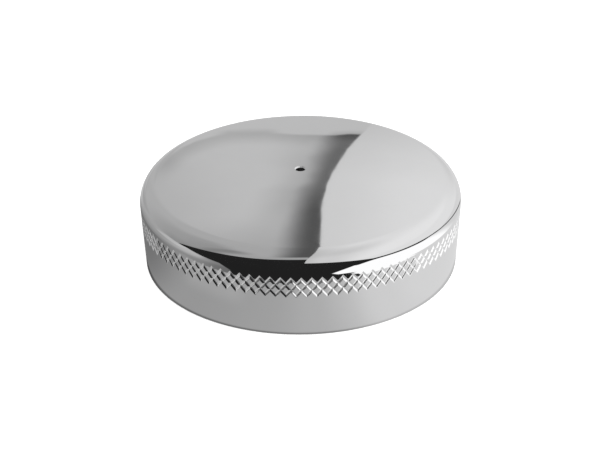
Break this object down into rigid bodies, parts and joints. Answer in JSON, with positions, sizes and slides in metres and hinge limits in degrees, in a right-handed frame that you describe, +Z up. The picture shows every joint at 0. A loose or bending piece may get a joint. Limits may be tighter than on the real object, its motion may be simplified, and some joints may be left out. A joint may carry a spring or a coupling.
{
  "type": "vented fuel cap",
  "caption": "Round domed chrome cap with a knurled skirt and a central vent hole; inside, a gasket and a spring-loaded bayonet lock plate.",
  "frame": {"origin": "centre of the skirt's foot, on the plane that the cap stands on", "axes": "+Z up along the cap's axis through the vent hole; the two ears of the lock plate point along +Y and -Y; the hole of the backing plate is on the +X side"},
  "size_m": [0.07, 0.07, 0.0213],
  "materials": {
    "chrome": "bright polished chrome plate",
    "zinc_plate": "zinc-plated steel pressing",
    "gasket_rubber": "moulded black fuel-proof rubber",
    "bright_steel": "turned and riveted steel",
    "lock_steel": "plated steel pressing, satin",
    "spring_steel": "drawn spring wire"
  },
  "bodies": {
    "cap": {"cap_shell": "chrome", "backing_plate": "zinc_plate", "sealing_gasket": "gasket_rubber", "gasket_cup": "zinc_plate", "centre_stud": "bright_steel", "lock_spring": "spring_steel", "spring_seat": "lock_steel"},
    "lock": {"lock_plate": "lock_steel"}
  },
  "joints": [
    {"name": "lock_plate_slide", "type": "slide", "parent": "cap", "child": "lock", "axis": [0, 0, -1], "range_m": [0, 0.0022], "stiffness_N_per_m": 3800, "springref_m": -0.003, "deforming": ["lock_spring"]}
  ]
}
